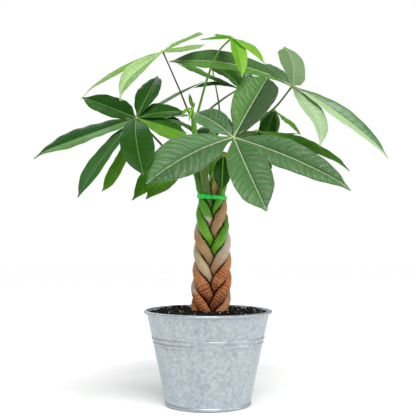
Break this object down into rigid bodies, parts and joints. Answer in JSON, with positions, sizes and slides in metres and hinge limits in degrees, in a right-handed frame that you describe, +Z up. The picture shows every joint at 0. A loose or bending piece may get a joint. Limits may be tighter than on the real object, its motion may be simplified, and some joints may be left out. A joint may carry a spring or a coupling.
{
  "type": "potted money tree",
  "caption": "House plant with a braided trunk of slim stems, a green tie and palmate leaves on long stalks, growing in soil in a tapered galvanised metal pot.",
  "frame": {"origin": "middle of the flat underside of the pot, on the surface that the pot stands on", "axes": "+Z up along the pot's axis and the trunk, -Y towards the side that the picture shows, +X to its right"},
  "size_m": [0.4323, 0.3772, 0.4895],
  "materials": {
    "galvanised_sheet": "satin",
    "potting_soil": "matte",
    "green_bark": "satin",
    "brown_bark": "matte",
    "green_tie": "gloss",
    "dark_leaf": "satin",
    "mid_leaf": "satin",
    "pale_leaf": "satin",
    "young_leaf": "satin"
  },
  "bodies": {
    "root": {"pot_wall": "galvanised_sheet", "pot_base": "galvanised_sheet", "soil": "potting_soil", "stem_1": "green_bark", "stem_2": "brown_bark", "stem_3": "green_bark", "stem_4": "green_bark", "stem_5": "green_bark", "stem_6": "green_bark", "stem_7": "brown_bark", "tie_band": "green_tie", "frond_left": "dark_leaf", "frond_high_left": "pale_leaf", "frond_front": "mid_leaf", "frond_right": "mid_leaf", "frond_young_top": "young_leaf", "frond_back_high": "dark_leaf", "frond_back_top": "dark_leaf", "frond_right_inner": "dark_leaf", "frond_right_low": "dark_leaf", "frond_young_low": "young_leaf", "frond_left_low": "dark_leaf", "frond_back_left": "dark_leaf", "frond_back_low": "dark_leaf", "frond_back_right": "dark_leaf", "shoot_tip": "young_leaf"}
  },
  "joints": []
}
